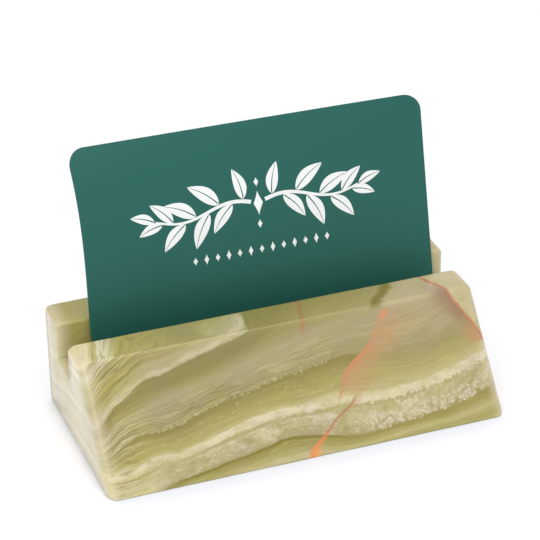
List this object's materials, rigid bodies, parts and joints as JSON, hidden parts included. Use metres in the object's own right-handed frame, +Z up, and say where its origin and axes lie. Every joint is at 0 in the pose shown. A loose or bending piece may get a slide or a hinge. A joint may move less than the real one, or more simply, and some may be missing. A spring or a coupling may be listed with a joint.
{
  "type": "business card holder",
  "caption": "Desk card holder: a polished block of banded green onyx with a sawn groove, and the business card that leans in it.",
  "frame": {"origin": "centre of the block's footprint, on the surface it stands on", "axes": "+Z up; +X along the groove, to the right seen from the front; +Y from the sloping front to the back wall"},
  "size_m": [0.1, 0.0492, 0.0663],
  "materials": {
    "green_onyx": "polished banded green onyx (calcite) with cream and white bands and orange veins",
    "teal_card": "smooth matt-laminated teal card",
    "white_print": "matt white ink"
  },
  "bodies": {
    "holder": {"stone_block": "green_onyx"},
    "card": {"business_card": "teal_card"}
  },
  "joints": [
    {"name": "card_lift", "type": "slide", "parent": "holder", "child": "card", "axis": [0, 0.213, 0.977], "range_m": [0, 0.05]}
  ]
}
